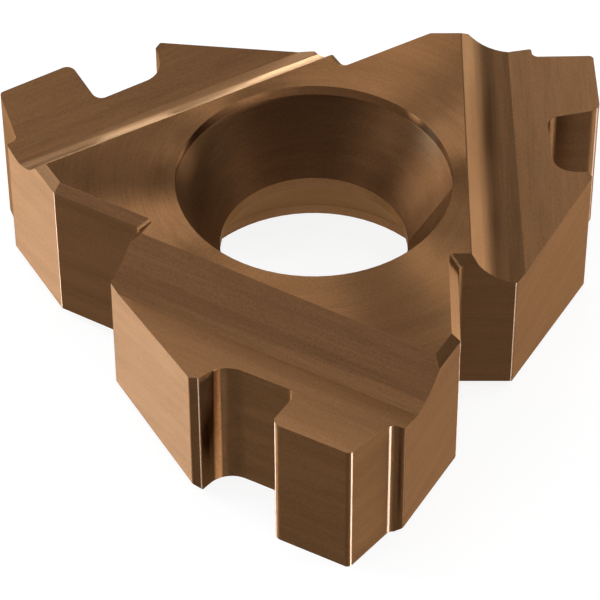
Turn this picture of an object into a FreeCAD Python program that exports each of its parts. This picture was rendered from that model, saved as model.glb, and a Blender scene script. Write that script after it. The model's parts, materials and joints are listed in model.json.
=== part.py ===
import FreeCAD, Part
import math
import os

# Threading insert: a flat triangular body of sintered carbide, ground all over, with a
# cutting tooth at each of its three corners, a chip groove behind each tooth, a V-notch
# in each side and a clamping hole with a countersink on both faces.
# The hole's axis is Z, the lower face lies at z = 0, and one corner points along -Y.

# Body: the circle that the three long sides touch, the thickness between the faces, and
# the 45 degree break along the edges of the sides and notches.
inscribed_circle = 15.875
thickness = 6.2
edge_chamfer = 0.3
edge_radius = 0.10

# Clamping hole, from the upper face down: an upright land at the rim, a cone, an
# upright throat, and a second cone down to a land at the lower face.
rim_diameter = 9.57
throat_diameter = 6.58
rim_land_height = 0.4
upper_cone_depth = 2.65
throat_height = 0.44

# V-notch: its depth below the side, how far its bottom lies from the middle of the side,
# the turn of its seat wall from the side, its opening angle and the radius at its bottom.
notch_depth = 1.77
notch_shift = 1.043
notch_wall_turn = 30.0
notch_angle = 90.0
notch_radius = 0.2

# Cutting tooth, seen from above: how far its front stands out of the inscribed circle,
# its width and height, its distance from the side ahead of it, the depth of the heel on
# that side, and the angles of its front and flanks.
tooth_overhang = 2.30
tooth_width = 2.90
tooth_height = 1.86
tooth_inset = 0.82
heel_depth = 2.14
front_turn = 1.76
lead_flank_angle = 77.9
back_flank_angle = 89.2
nose_radius = 0.33
lead_nose_radius = 0.2
tooth_root_radius = 0.35
heel_root_radius = 0.28

# Pocket behind the tooth: the narrow shoulder that closes it, the slope of its far
# flank and the radius that joins the flank to the floor.
shoulder_overhang = 0.84
shoulder_width = 0.325
pocket_flank_angle = 49.0
pocket_radius = 0.97

# Chip groove: the flat left between the hole's rim and the groove, the slope and the
# rounded top of its wall, the radius of the arc below the wall, and the arc's depth.
rim_flat_width = 0.505
groove_wall_angle = 48.5
groove_edge_radius = 0.08
groove_radius = 2.1
groove_depth = 1.182

# Floor strip and rake face: both are planes turned a little from the groove, which meet
# in a valley. The strip falls from the arc to the valley, and the rake face rises from
# the valley to the cutting edge.
rake_turn = 0.7
rake_angle = 10.13
rake_length = 3.12
cutting_edge_drop = 0.607
floor_angle = 9.5

lobe_count = 3
lobe_step = 360.0 / lobe_count
first_lobe_azimuth = -90.0
side_offset = inscribed_circle / 2.0
clearance = 1.0
up = FreeCAD.Vector(0, 0, 1)


def facing(azimuth):
    """Unit vector in plan that looks to this azimuth."""
    angle = math.radians(azimuth)
    return FreeCAD.Vector(math.cos(angle), math.sin(angle), 0)


def wall_through(azimuth, point):
    """Upright wall that looks to this azimuth and passes through a point."""
    return (azimuth, point.dot(facing(azimuth)))


def meet(wall_a, wall_b):
    """Corner in plan where two upright walls cross."""
    a = facing(wall_a[0])
    b = facing(wall_b[0])
    span = a.x * b.y - a.y * b.x
    x = (wall_a[1] * b.y - wall_b[1] * a.y) / span
    y = (wall_b[1] * a.x - wall_a[1] * b.x) / span
    return FreeCAD.Vector(x, y, 0)


def rounded_loop(walls, radii, height):
    """Closed outline along the walls; each radius rounds a wall's corner with the next."""
    count = len(walls)
    runs = []
    for i in range(count):
        before = walls[i]
        after = walls[(i + 1) % count]
        corner = meet(before, after)
        back = meet(walls[i - 1], before) - corner
        ahead = meet(after, walls[(i + 2) % count]) - corner
        back.normalize()
        ahead.normalize()
        half_angle = back.getAngle(ahead) / 2.0
        reach = radii[i] / math.tan(half_angle)
        inward = (back + ahead).normalize()
        middle = corner + inward * (radii[i] / math.sin(half_angle) - radii[i])
        runs.append((corner + back * reach, middle, corner + ahead * reach))
    edges = []
    lift = up * height
    for i in range(count):
        start, middle, end = runs[i]
        if radii[i] > 0:
            edges.append(Part.Arc(start + lift, middle + lift, end + lift).toShape())
        next_start = runs[(i + 1) % count][0]
        edges.append(Part.LineSegment(end + lift, next_start + lift).toShape())
    return Part.Wire(edges)


def notch_walls(side_azimuth):
    """Seat wall and back wall of the notch in one side."""
    along = facing(side_azimuth + 90.0)
    bottom = facing(side_azimuth) * (side_offset - notch_depth) - along * notch_shift
    seat_azimuth = side_azimuth + notch_wall_turn
    seat = wall_through(seat_azimuth, bottom)
    back = wall_through(seat_azimuth - notch_angle, bottom)
    return seat, back


def lobe_walls(axis):
    """Walls and corner radii round one lobe, from its notch back to its seat wall."""
    near_side = (axis - lobe_step / 2.0, side_offset)
    far_side = (axis + lobe_step / 2.0, side_offset)
    notch_back = notch_walls(near_side[0])[1]
    seat_wall = notch_walls(far_side[0])[0]
    shoulder = (axis, side_offset + shoulder_overhang)
    shoulder_end = meet(near_side, shoulder) + facing(axis + 90.0) * shoulder_width
    pocket_flank = wall_through(axis + pocket_flank_angle, shoulder_end)
    front_azimuth = axis - 30.0 + front_turn
    front = (front_azimuth, side_offset + tooth_overhang)
    pocket_floor = (front_azimuth, front[1] - tooth_height)
    heel = (front_azimuth, front[1] - heel_depth)
    lead_nose = meet(front, (far_side[0], side_offset - tooth_inset))
    back_nose = lead_nose - facing(front_azimuth + 90.0) * tooth_width
    lead_flank = wall_through(front_azimuth + lead_flank_angle, lead_nose)
    back_flank = wall_through(front_azimuth - back_flank_angle, back_nose)
    return (
        (notch_back, edge_radius),
        (near_side, edge_radius),
        (shoulder, edge_radius),
        (pocket_flank, pocket_radius),
        (pocket_floor, tooth_root_radius),
        (back_flank, nose_radius),
        (front, lead_nose_radius),
        (lead_flank, heel_root_radius),
        (heel, edge_radius),
        (far_side, edge_radius),
        (seat_wall, notch_radius),
    )


def blank():
    """Upright body with the whole outline: lobes, teeth, pockets and notches."""
    steps = []
    for lobe in range(lobe_count):
        steps.extend(lobe_walls(first_lobe_azimuth + lobe * lobe_step))
    walls = [wall for wall, radius in steps]
    radii = [radius for wall, radius in steps]
    outline = rounded_loop(walls, radii, 0.0)
    return Part.Face(outline).extrude(up * thickness)


def side_break(side_azimuth, face_height, outward):
    """Wedge that breaks the edge between a long side and the upper or lower face."""
    out = facing(side_azimuth)
    along = facing(side_azimuth + 90.0) * inscribed_circle
    inner = side_offset - edge_chamfer - clearance
    outer = side_offset + clearance
    beyond = face_height + outward * clearance
    within = face_height - outward * (edge_chamfer + clearance)
    section = [
        out * inner + up * beyond - along,
        out * outer + up * within - along,
        out * outer + up * beyond - along,
    ]
    face = Part.Face(Part.makePolygon(section + section[:1]))
    return face.extrude(along * 2.0)


def notch_break(side_azimuth, face_height, outward):
    """Flared plug that breaks the edges of a notch at the upper or lower face."""
    seat, back = notch_walls(side_azimuth)
    open_end = (side_azimuth, side_offset + inscribed_circle)
    wires = []
    for grow in (0.0, edge_chamfer + clearance):
        walls = [(seat[0], seat[1] - grow), (back[0], back[1] - grow), open_end]
        radii = [notch_radius, 0.0, 0.0]
        height = face_height + outward * (grow - edge_chamfer)
        wires.append(rounded_loop(walls, radii, height))
    return Part.makeLoft(wires, True, True)


def broken_edges():
    """All the wedges and plugs that break the edges of the sides and notches."""
    cutters = []
    for lobe in range(lobe_count):
        side_azimuth = first_lobe_azimuth - lobe_step / 2.0 + lobe * lobe_step
        for face_height, outward in ((thickness, 1.0), (0.0, -1.0)):
            cutters.append(side_break(side_azimuth, face_height, outward))
            cutters.append(notch_break(side_azimuth, face_height, outward))
    return cutters


def groove_edge_offset():
    """Distance from the hole's axis to the sharp top of the groove's wall."""
    return rim_diameter / 2.0 + rim_flat_width


def bar(azimuth, edges_at):
    """Long straight bar across the hole; edges_at gives its section in distance, height."""
    out = facing(azimuth)
    along = facing(azimuth + 90.0) * inscribed_circle

    def at(point):
        return out * point[0] + up * point[1] - along

    return Part.Face(Part.Wire(edges_at(at))).extrude(along * 2.0)


def straight_run(at, points):
    """Straight edges through points of a section."""
    places = [at(point) for point in points]
    return [Part.LineSegment(a, b).toShape() for a, b in zip(places, places[1:])]


def rake_bar(axis):
    """Bar whose underside is the floor strip and the rake face."""
    valley = side_offset + tooth_overhang - rake_length
    rise = math.tan(math.radians(rake_angle))
    valley_height = thickness - cutting_edge_drop - rake_length * rise
    inner = valley - rake_length
    inner_height = valley_height + rake_length * math.tan(math.radians(floor_angle))
    outer = valley + inscribed_circle
    outer_height = valley_height + inscribed_circle * rise
    ceiling = max(inner_height, outer_height, thickness) + clearance
    points = [
        (inner, inner_height),
        (valley, valley_height),
        (outer, outer_height),
        (outer, ceiling),
        (inner, ceiling),
        (inner, inner_height),
    ]
    return bar(axis - 30.0 + rake_turn, lambda at: straight_run(at, points))


def groove_bar(axis):
    """Bar whose underside is the groove's wall and the arc below it."""
    slope = math.radians(groove_wall_angle)
    edge = groove_edge_offset()
    floor = thickness - groove_depth
    foot_height = floor + groove_radius * (1.0 - math.cos(slope))
    foot = (edge + (thickness - foot_height) / math.tan(slope), foot_height)
    centre = foot[0] + groove_radius * math.sin(slope)
    middle = (
        centre - groove_radius * math.sin(slope / 2.0),
        floor + groove_radius * (1.0 - math.cos(slope / 2.0)),
    )
    outer = centre + inscribed_circle
    top = (edge - clearance / math.tan(slope), thickness + clearance)
    rest = [(centre, floor), (outer, floor), (outer, top[1]), top, foot]

    def edges_at(at):
        arc = Part.Arc(at(foot), at(middle), at(rest[0])).toShape()
        return [arc] + straight_run(at, rest)

    return bar(axis - 30.0, edges_at)


def groove_cutter(axis):
    """What is ground away over one tooth, from the groove's wall to beyond its edge."""
    return groove_bar(axis).common(rake_bar(axis))


def hole_cutter():
    """Turned plug with the form of the clamping hole."""
    rim = rim_diameter / 2.0
    throat = throat_diameter / 2.0
    throat_top = thickness - rim_land_height - upper_cone_depth
    stations = [
        (0.0, -clearance),
        (rim, -clearance),
        (rim, rim_land_height),
        (throat, throat_top - throat_height),
        (throat, throat_top),
        (rim, thickness - rim_land_height),
        (rim, thickness + clearance),
        (0.0, thickness + clearance),
    ]
    points = [FreeCAD.Vector(radius, 0, height) for radius, height in stations]
    half_section = Part.Face(Part.makePolygon(points + points[:1]))
    return half_section.revolve(FreeCAD.Vector(0, 0, 0), up, 360)


def groove_top_edges(body):
    """Straight edges where the upper face meets the wall of a chip groove."""
    found = []
    for lobe in range(lobe_count):
        out = facing(first_lobe_azimuth + lobe * lobe_step - 30.0)
        for edge in body.Edges:
            ends = [vertex.Point for vertex in edge.Vertexes]
            on_top = all(abs(point.z - thickness) < 1e-6 for point in ends)
            offsets = [abs(point.dot(out) - groove_edge_offset()) for point in ends]
            if on_top and len(ends) == 2 and max(offsets) < 1e-6:
                found.append(edge)
    return found


def threading_insert():
    """The finished insert as one solid."""
    cutters = broken_edges()
    for lobe in range(lobe_count):
        cutters.append(groove_cutter(first_lobe_azimuth + lobe * lobe_step))
    cutters.append(hole_cutter())
    body = blank()
    for cutter in cutters:
        body = body.cut(cutter)
    body = body.makeFillet(groove_edge_radius, groove_top_edges(body))
    return body.removeSplitter()


os.makedirs("parts", exist_ok=True)
insert = threading_insert()
insert.exportStep("parts/threading_insert.step")
box = insert.optimalBoundingBox()
print("solids", len(insert.Solids), "faces", len(insert.Faces), "valid", insert.isValid())
print("volume", round(insert.Volume, 3), "height", round(box.ZLength, 3))
print("x", round(box.XMin, 3), round(box.XMax, 3), "y", round(box.YMin, 3), round(box.YMax, 3))
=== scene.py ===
"""Looks of the threading insert: ground and turned finish, studio lights and camera."""

import json
import math

import bpy
from mathutils import Matrix, Vector

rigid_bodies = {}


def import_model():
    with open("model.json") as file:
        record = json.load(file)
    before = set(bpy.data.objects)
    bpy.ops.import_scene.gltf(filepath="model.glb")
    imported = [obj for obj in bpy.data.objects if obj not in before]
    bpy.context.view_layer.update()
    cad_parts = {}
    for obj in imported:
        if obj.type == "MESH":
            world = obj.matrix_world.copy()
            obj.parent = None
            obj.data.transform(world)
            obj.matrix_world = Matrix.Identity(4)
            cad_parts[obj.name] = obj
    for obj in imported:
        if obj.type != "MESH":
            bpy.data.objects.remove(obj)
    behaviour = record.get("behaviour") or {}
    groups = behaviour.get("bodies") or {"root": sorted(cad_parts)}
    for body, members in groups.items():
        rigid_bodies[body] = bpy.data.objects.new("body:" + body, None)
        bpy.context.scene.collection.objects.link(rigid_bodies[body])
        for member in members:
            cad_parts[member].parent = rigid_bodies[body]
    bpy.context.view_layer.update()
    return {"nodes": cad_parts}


MM = 0.001
UP = Vector((0.0, 0.0, 1.0))

# Where the lobes and sides of the insert lie, in millimetres and degrees. The breaks along
# the lower edges lie below the lower limit.
LOBE_AZIMUTHS = (-90.0, 30.0, 150.0)
GROOVE_TURN = -30.0
RAKE_EDGE = 7.0
LOWER_LIMIT = 2.0
SIDE_AZIMUTHS = (-150.0, -30.0, 90.0)

# How far a point may lie off its surface, in millimetres.
PLACE_SLACK = 0.01

# Limits for a unit normal: its upward part on a level and on an upright face, its part
# towards a side on that side, its part along a groove on the groove's own faces, and how
# much it turns over a flat face.
LEVEL_LEAST = 0.999
UPRIGHT_MOST = 0.02
SIDE_LEAST = 0.9999
GROOVE_MOST = 0.1
FLAT_MOST = 0.02

# Coating: its colour, how bright each finish makes it, and how far the grinding lines
# stretch a reflection. The tones and the side colour are painted light and shade: they make
# whole groups of faces lighter or darker for how light falls on them.
COATING = (0.19, 0.0940, 0.0415)
# Paler coating on the sides, painted light.
SIDE_COLOUR_WITH_PAINTED_LIGHT = (0.325, 0.166, 0.079)
FORM_TONE = 0.838
GROOVE_TONE = 0.828
RAKE_TONE = 1.064
TOP_TONE = 1.22
HOLE_TONE = 1.025
LAND_TONE = 1.15
WALL_ROUGHNESS = 0.44
WALL_STRETCH = 1.0
GROOVE_ROUGHNESS = 0.39
GROOVE_STRETCH = 0.0
TURNED_ROUGHNESS = 0.44
TURNED_STRETCH = 1.0
HOLE_ROUGHNESS = 0.5
HOLE_STRETCH = 0.7
LAND_ROUGHNESS = 0.3
LAND_STRETCH = 1.0

# How much the coating keeps its colour where light only grazes it.
WALL_TINT = (0.80, 0.62, 0.46, 1.0)
GROOVE_TINT = (1.0, 0.85, 0.68, 1.0)

# Upright edges and fillets of the front lobe with a painted highlight line: the finish of each,
# its point in plan and the azimuth that its painted highlight faces. The other two lobes
# have them too.
PAINTED_HIGHLIGHT_LINES = (
    ("edge", -6.86, -3.98, 161.0),
    ("edge", -3.77, -8.76, -80.0),
    ("fillet", -3.20, -8.25, -62.0),
    ("edge", -1.25, -10.78, -160.0),
    ("edge", 1.15, -12.15, -56.0),
    ("edge", 2.62, -10.68, -54.0),
    ("edge", 4.82, -7.53, -22.0),
)

# How far from its point the faces of a painted highlight line lie, in millimetres, how many
# degrees from its azimuth it is still full and then gone, and the colours of the two kinds
# of painted highlight.
LINE_REACH = 0.2
LINE_WIDTHS = (3.0, 10.0)
# Painted highlight colours of the upright edges and of the fillet.
EDGE_PAINTED_HIGHLIGHT = (0.80, 0.58, 0.43)
FILLET_PAINTED_HIGHLIGHT = (0.80, 0.40, 0.17)

# Grinding lines: how many to the millimetre along and across them, and how much the
# fine lines, the broad bands and the specks vary the brightness.
LINE_COUNTS = (0.7, 13.0)
BAND_COUNTS = (0.13, 1.7)
SPECK_COUNT = 14.0
LINE_SHARE = 0.46
BAND_SHARE = 0.4
SPECK_SHARE = 0.5
LINE_DETAIL = 3.0
BROAD_DETAIL = 1.0
NOISE_ROUGHNESS = 0.6

# How much the lines vary the roughness, how deep they are in metres, how many degrees
# they tilt on the sides, and how often they change round the hole.
ROUGHNESS_SHARE = 0.12
LINE_DEPTH = 0.0000008
SIDE_LINE_TILT = 15.0
TURN_COUNT = 4.0

# Camera, as found from the photograph's straight edges, in millimetres and degrees, and
# the farthest that it sees, in metres.
CAMERA_PLACE = (-0.0293, -86.7029, 87.1587)
CAMERA_TILT = 45.0546
CAMERA_ROLL = -0.2274
CAMERA_AZIMUTH = 0.3088
FOCAL_LENGTH = 207.154
SENSOR_WIDTH = 36.0
FARTHEST_SEEN = 10.0

# Floor: half its width in metres, its colour, and its brightness to the camera and in
# reflections.
FLOOR_REACH = 2.0
FLOOR_COLOUR = (0.18, 0.18, 0.18)
FLOOR_GLOW = 0.885

# Rings of softboxes: height above the horizon, width across and width up and down, in
# degrees, all at one distance in metres.
LAMP_DISTANCE = 1.0
RINGS = (
    (1.9, 10.0, 3.6),
    (7.0, 11.9, 6.4),
    (14.5, 11.6, 8.5),
    (24.0, 13.7, 11.0),
    (36.0, 14.6, 12.0),
    (49.0, 14.8, 13.0),
    (63.0, 16.3, 14.0),
    (79.0, 13.7, 16.0),
)
WHITE = (1.0, 1.0, 1.0)
COOL = (0.75, 0.84, 1.0)
BLUE = (0.34, 0.62, 1.0)

# Softboxes: ring, azimuth, brightness and colour. All but the last four come from another
# program, which fitted them to the photograph's average brightness on each group of faces.
# Two of those, at 100 degrees in ring 0 and 165 in ring 3, were then changed.
SOFTBOXES = (
    (0, -60.0, 18.2, WHITE),
    (0, -50.0, 50.3, WHITE),
    (0, -40.0, 69.8, WHITE),
    (0, -30.0, 40.1, WHITE),
    (0, -20.0, 34.3, WHITE),
    (0, -10.0, 20.9, WHITE),
    (0, 30.0, 102.0, WHITE),
    (0, 40.0, 6.6, WHITE),
    (0, 100.0, 64.0, COOL),
    (1, 24.0, 16.4, WHITE),
    (1, 84.0, 19.2, WHITE),
    (2, -156.0, 4.8, WHITE),
    (2, 72.0, 4.1, WHITE),
    (2, 108.0, 3.2, WHITE),
    (2, 144.0, 11.9, WHITE),
    (3, 90.0, 3.1, WHITE),
    (3, 150.0, 20.3, WHITE),
    (3, 165.0, 5.0, WHITE),
    (4, -144.0, 2.3, WHITE),
    (4, 36.0, 1.5, WHITE),
    (4, 54.0, 2.2, WHITE),
    (4, 90.0, 2.7, WHITE),
    (4, 162.0, 8.9, WHITE),
    (5, -157.5, 2.1, WHITE),
    (5, 0.0, 7.7, WHITE),
    (5, 22.5, 3.6, WHITE),
    (5, 90.0, 1.4, WHITE),
    (6, -144.0, 1.2, WHITE),
    (6, 108.0, 2.3, WHITE),
    (6, 180.0, 0.5, WHITE),
    (7, -72.0, 3.5, WHITE),
    (7, 72.0, 1.5, WHITE),
    (7, 144.0, 3.1, WHITE),
    (1, 172.0, 31.0, BLUE),
    (0, -170.0, 160.0, WHITE),
    (0, -72.0, 16.0, WHITE),
    (1, 102.0, 15.0, COOL),
)

# Light that comes alike from all round.
ROOM_LIGHT = 0.08


def facing(azimuth):
    """Unit vector in plan that looks to this azimuth."""
    angle = math.radians(azimuth)
    return Vector((math.cos(angle), math.sin(angle), 0.0))


def aim(azimuth, elevation):
    """Unit vector that looks to this azimuth and height above the horizon."""
    rise = math.radians(elevation)
    return facing(azimuth) * math.cos(rise) + UP * math.sin(rise)


class Nodes:
    """Short way to write a material's nodes."""

    def __init__(self, name):
        self.material = bpy.data.materials.new(name)
        self.material.use_nodes = True
        self.tree = self.material.node_tree
        self.tree.nodes.clear()

    def add(self, kind, inputs=None, **settings):
        """New node with its settings and its inputs, each a value or another socket."""
        node = self.tree.nodes.new(kind)
        for key, value in settings.items():
            setattr(node, key, value)
        for key, value in (inputs or {}).items():
            if isinstance(value, bpy.types.NodeSocket):
                self.tree.links.new(value, node.inputs[key])
            else:
                node.inputs[key].default_value = value
        return node

    def math(self, operation, a, b=0.0, c=0.0):
        """Result of one math node."""
        node = self.add("ShaderNodeMath", {0: a, 1: b, 2: c}, operation=operation)
        return node.outputs[0]

    def vector(self, operation, a, b=(0.0, 0.0, 0.0), output="Vector"):
        """Result of one vector math node."""
        node = self.add("ShaderNodeVectorMath", {0: a, 1: b}, operation=operation)
        return node.outputs[output]

    def surface(self):
        """Normal of the surface and the point on it in millimetres."""
        normal = self.add("ShaderNodeNewGeometry").outputs["Normal"]
        place = self.add("ShaderNodeTexCoord").outputs["Object"]
        return normal, self.vector("MULTIPLY", place, (1.0 / MM, 1.0 / MM, 1.0 / MM))

    def finish(self, shader):
        """Ends the tree at the surface output."""
        self.add("ShaderNodeOutputMaterial", {"Surface": shader})
        return self.material


def grain(nodes, along, across, third, place):
    """Brightness factor of the grinding lines and the height of the lines."""

    def stretched(counts):
        inputs = {
            "X": nodes.math("MULTIPLY", along, counts[0]),
            "Y": nodes.math("MULTIPLY", across, counts[1]),
            "Z": third,
        }
        return nodes.add("ShaderNodeCombineXYZ", inputs).outputs[0]

    def noise(vector, scale, detail):
        settings = {
            "Vector": vector,
            "Scale": scale,
            "Detail": detail,
            "Roughness": NOISE_ROUGHNESS,
        }
        return nodes.add("ShaderNodeTexNoise", settings).outputs[0]

    lines = noise(stretched(LINE_COUNTS), 1.0, LINE_DETAIL)
    bands = noise(stretched(BAND_COUNTS), 1.0, BROAD_DETAIL)
    specks = noise(place, SPECK_COUNT, BROAD_DETAIL)
    factor = 1.0
    for part, share in ((lines, LINE_SHARE), (bands, BAND_SHARE), (specks, SPECK_SHARE)):
        factor = nodes.math("MULTIPLY_ADD", part, share, nodes.math("ADD", factor, -0.5 * share))
    return factor, lines


def painted_highlight_share(nodes, normal):
    """Share of the painted highlight on an upright edge, from where the surface faces."""
    line = nodes.add("ShaderNodeAttribute", attribute_name="line").outputs["Vector"]
    inner, outer = (math.cos(math.radians(width)) for width in LINE_WIDTHS)
    near = nodes.vector("DOT_PRODUCT", normal, line, "Value")
    limits = {"Value": near, "From Min": outer, "From Max": inner}
    return nodes.add("ShaderNodeMapRange", limits).outputs["Result"]


def metal(nodes, colour, tint, roughness, stretch, tangent, normal, factor, lines):
    """Coated metal whose reflections stretch across its grinding lines."""
    shade = nodes.add("ShaderNodeVectorMath", {0: colour, "Scale": factor}, operation="SCALE")
    low = roughness - 0.5 * ROUGHNESS_SHARE
    bump = {"Height": lines, "Distance": LINE_DEPTH, "Normal": normal}
    inputs = {
        "Base Color": shade.outputs[0],
        "Metallic": 1.0,
        "Roughness": nodes.math("MULTIPLY_ADD", lines, ROUGHNESS_SHARE, low),
        "Anisotropic": stretch,
        "Specular Tint": tint,
        "Tangent": tangent,
        "Normal": nodes.add("ShaderNodeBump", bump).outputs[0],
    }
    return nodes.finish(nodes.add("ShaderNodeBsdfPrincipled", inputs).outputs["BSDF"])


def toned(tone):
    """Colour of the coating times this tone, which paints light and shade on its group of faces.
    """
    return tuple(part * tone for part in COATING)


def ground_metal(name, colour, tint, roughness, stretch, tilt=0.0, bright=None):
    """Ground faces, with straight lines along the face's own grinding direction."""
    nodes = Nodes(name)
    normal, place = nodes.surface()
    lines = nodes.add("ShaderNodeAttribute", attribute_name="grinding").outputs["Vector"]
    tangent = nodes.vector("CROSS_PRODUCT", normal, lines)
    flat = nodes.vector("DOT_PRODUCT", place, lines, "Value")
    upright = nodes.vector("DOT_PRODUCT", place, tangent, "Value")
    sine = math.sin(math.radians(tilt))
    cosine = math.cos(math.radians(tilt))
    along = nodes.math("MULTIPLY_ADD", upright, sine, nodes.math("MULTIPLY", flat, cosine))
    across = nodes.math("MULTIPLY_ADD", flat, -sine, nodes.math("MULTIPLY", upright, cosine))
    third = nodes.vector("DOT_PRODUCT", place, normal, "Value")
    look = grain(nodes, along, across, third, place)
    # Painted highlight: the colour turns to the bright one where the normal faces the line's
    # azimuth.
    if bright:
        # A colour mix's factor, colours and result can only be named by their numbers.
        mix = {0: painted_highlight_share(nodes, normal), 6: (*colour, 1.0), 7: (*bright, 1.0)}
        colour = nodes.add("ShaderNodeMix", mix, data_type="RGBA").outputs[2]
    return metal(nodes, colour, tint, roughness, stretch, tangent, normal, *look)


def turned_metal(name, colour, roughness, stretch):
    """Upper face and hole, with round lines about the axis of the hole."""
    nodes = Nodes(name)
    normal, place = nodes.surface()
    outward = nodes.vector("NORMALIZE", nodes.vector("MULTIPLY", place, (1.0, 1.0, 0.0)))
    lines = nodes.vector("CROSS_PRODUCT", tuple(UP), outward)
    tangent = nodes.vector("CROSS_PRODUCT", normal, lines)
    radius = nodes.vector("DOT_PRODUCT", place, outward, "Value")
    parts = nodes.add("ShaderNodeSeparateXYZ", {"Vector": outward}).outputs
    height = nodes.add("ShaderNodeSeparateXYZ", {"Vector": place}).outputs["Z"]
    turn = [nodes.math("MULTIPLY", parts[axis], TURN_COUNT) for axis in ("X", "Y")]
    look = grain(nodes, turn[0], nodes.math("ADD", radius, height), turn[1], place)
    return metal(nodes, colour, WALL_TINT, roughness, stretch, tangent, normal, *look)


def finishes():
    """Materials of the insert, by the name of the finish."""
    wall = (WALL_TINT, WALL_ROUGHNESS, WALL_STRETCH)
    groove = (GROOVE_TINT, GROOVE_ROUGHNESS, GROOVE_STRETCH)
    # The tones and the side colour below paint light and shade on each group of faces.
    form = toned(FORM_TONE)
    return {
        "side": ground_metal("ground_sides", SIDE_COLOUR_WITH_PAINTED_LIGHT, *wall, tilt=SIDE_LINE_TILT),
        "form": ground_metal("ground_form", form, *wall),
        "groove": ground_metal("ground_grooves", toned(GROOVE_TONE), *groove),
        "rake": ground_metal("ground_rakes", toned(RAKE_TONE), *groove),
        "top": turned_metal("ground_face", toned(TOP_TONE), TURNED_ROUGHNESS, TURNED_STRETCH),
        "hole": turned_metal("turned_hole", toned(HOLE_TONE), HOLE_ROUGHNESS, HOLE_STRETCH),
        "land": turned_metal("turned_lands", toned(LAND_TONE), LAND_ROUGHNESS, LAND_STRETCH),
        # Finishes with painted highlight lines on upright edges and on the fillet.
        "edge": ground_metal("edges_painted_highlight", form, *wall, bright=EDGE_PAINTED_HIGHLIGHT),
        "fillet": ground_metal("fillets_painted_highlight", form, *wall, bright=FILLET_PAINTED_HIGHLIGHT),
    }


def lobe_of(centre):
    """Azimuth across the groove of the lobe that a point lies on, and how far out it is."""
    across = [azimuth + GROOVE_TURN for azimuth in LOBE_AZIMUTHS]
    reach = [centre.dot(facing(azimuth)) for azimuth in across]
    return across[reach.index(max(reach))], max(reach)


def top_and_rim(mesh):
    """Height of the upper face and radius of the hole's rim in it, in millimetres."""
    points = [vertex.co / MM for vertex in mesh.vertices]
    top = max(point.z for point in points)
    return top, min(point.xy.length for point in points if point.z > top - PLACE_SLACK)


def finish_of(face, centre, groove, reach, top, rim):
    """Name of the finish on one face."""
    upward = abs(face.normal.z)
    if centre.xy.length < rim + PLACE_SLACK:
        return "land" if upward < UPRIGHT_MOST else "hole"
    if upward > LEVEL_LEAST and not PLACE_SLACK < centre.z < top - PLACE_SLACK:
        return "top"
    if upward < UPRIGHT_MOST:
        sides = [face.normal.dot(facing(azimuth)) for azimuth in SIDE_AZIMUTHS]
        return "side" if max(sides) > SIDE_LEAST else "form"
    if centre.z < LOWER_LIMIT or abs(face.normal.dot(groove)) > GROOVE_MOST:
        return "form"
    return "rake" if reach > RAKE_EDGE else "groove"


def painted_highlight_line(centre):
    """Finish of the painted highlight line that a point lies on and the direction that it faces.
    """
    for azimuth in LOBE_AZIMUTHS:
        turn = azimuth - LOBE_AZIMUTHS[0]
        turned = Matrix.Rotation(math.radians(-turn), 3, "Z") @ centre
        for finish, x, y, line in PAINTED_HIGHLIGHT_LINES:
            if math.hypot(turned.x - x, turned.y - y) < LINE_REACH:
                return finish, facing(line + turn)
    return None


def is_curved(normals):
    """True where the surface turns within one face."""
    return any((normal - normals[0]).length > FLAT_MOST for normal in normals)


def finish_surfaces(insert):
    """Gives each face its finish and stores its grinding direction."""
    mesh = insert.data
    materials = finishes()
    slots = list(materials)
    mesh.materials.clear()
    for material in materials.values():
        mesh.materials.append(material)
    # Both are made before either is fetched, because a new one moves those before it.
    mesh.attributes.new("grinding", "FLOAT_VECTOR", "CORNER")
    # The line attribute holds the direction that each face's painted highlight faces.
    mesh.attributes.new("line", "FLOAT_VECTOR", "CORNER")
    grinding = mesh.attributes["grinding"]
    lines = mesh.attributes["line"]
    top, rim = top_and_rim(mesh)
    for face in mesh.polygons:
        centre = face.center / MM
        normals = [mesh.corner_normals[corner].vector for corner in face.loop_indices]
        azimuth, reach = lobe_of(centre)
        groove = facing(azimuth + 90.0)
        finish = finish_of(face, centre, groove, reach, top, rim)
        towards = UP
        # Curved upright faces on a listed line take a finish with a painted highlight.
        if finish in ("form", "side") and is_curved(normals):
            finish, towards = painted_highlight_line(centre) or (finish, UP)
        face.material_index = slots.index(finish)
        straight = finish in ("groove", "rake") or abs(face.normal.dot(groove)) < GROOVE_MOST
        for corner, normal in zip(face.loop_indices, normals):
            upright = abs(normal.z) < UPRIGHT_MOST
            around = UP.cross(normal).normalized()
            grinding.data[corner].vector = groove if straight and not upright else around
            lines.data[corner].vector = towards


def camera():
    """Camera at the photograph's place and angle."""
    lens = bpy.data.cameras.new("camera")
    lens.lens = FOCAL_LENGTH
    lens.sensor_width = SENSOR_WIDTH
    lens.clip_start = MM
    lens.clip_end = FARTHEST_SEEN
    holder = bpy.data.objects.new("camera", lens)
    turn = Matrix.Rotation(math.radians(CAMERA_AZIMUTH), 4, "Z")
    tilt = Matrix.Rotation(math.radians(90.0 - CAMERA_TILT), 4, "X")
    roll = Matrix.Rotation(math.radians(CAMERA_ROLL), 4, "Z")
    place = Matrix.Translation(Vector(CAMERA_PLACE) * MM)
    holder.matrix_world = place @ turn @ tilt @ roll
    bpy.context.scene.collection.objects.link(holder)
    bpy.context.scene.camera = holder


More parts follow.
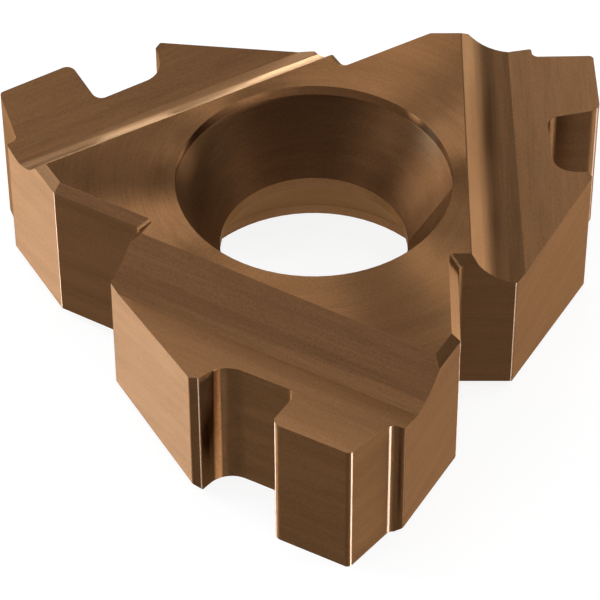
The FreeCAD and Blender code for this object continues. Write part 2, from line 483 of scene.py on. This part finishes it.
def floor():
    """Wide pale floor that the insert lies on."""
    low, high = -FLOOR_REACH, FLOOR_REACH
    corners = ((low, low, 0.0), (high, low, 0.0), (high, high, 0.0), (low, high, 0.0))
    mesh = bpy.data.meshes.new("floor")
    mesh.from_pydata(corners, [], [(0, 1, 2, 3)])
    plane = bpy.data.objects.new("floor", mesh)
    bpy.context.scene.collection.objects.link(plane)
    nodes = Nodes("floor")
    path = nodes.add("ShaderNodeLightPath").outputs
    seen = nodes.math("MAXIMUM", path["Is Camera Ray"], path["Is Glossy Ray"])
    seen = nodes.math("MAXIMUM", seen, path["Is Transmission Ray"])
    strength = nodes.math("MULTIPLY", seen, FLOOR_GLOW)
    glow = nodes.add("ShaderNodeEmission", {"Strength": strength})
    paint = nodes.add("ShaderNodeBsdfDiffuse", {"Color": (*FLOOR_COLOUR, 1.0)})
    both = nodes.add("ShaderNodeAddShader", {0: paint.outputs[0], 1: glow.outputs[0]})
    material = nodes.finish(both.outputs[0])
    material.cycles.emission_sampling = "NONE"
    mesh.materials.append(material)


def softbox(ring, azimuth, brightness, colour):
    """Soft rectangular lamp that faces the insert."""
    elevation, across, upright = RINGS[ring]
    lamp = bpy.data.lights.new("softbox", "AREA")
    lamp.shape = "RECTANGLE"
    lamp.color = colour
    lamp.size = 2.0 * LAMP_DISTANCE * math.tan(math.radians(across / 2.0))
    lamp.size_y = 2.0 * LAMP_DISTANCE * math.tan(math.radians(upright / 2.0))
    lamp.energy = math.pi * lamp.size * lamp.size_y * brightness
    holder = bpy.data.objects.new("softbox", lamp)
    outward = aim(azimuth, elevation)
    turn = outward.to_track_quat("Z", "Y").to_matrix().to_4x4()
    holder.matrix_world = Matrix.Translation(outward * LAMP_DISTANCE) @ turn
    bpy.context.scene.collection.objects.link(holder)


def room():
    """Faint even light, so that no side is black."""
    world = bpy.data.worlds.new("room")
    world.use_nodes = True
    world.node_tree.nodes["Background"].inputs["Strength"].default_value = ROOM_LIGHT
    bpy.context.scene.world = world


def clear():
    """Removes what the program opens with."""
    for item in list(bpy.data.objects):
        bpy.data.objects.remove(item)


clear()
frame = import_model()
insert = frame["nodes"]["threading_insert"]
finish_surfaces(insert)
camera()
floor()
room()
for lamp in SOFTBOXES:
    softbox(*lamp)
bpy.context.scene.view_settings.view_transform = "Standard"
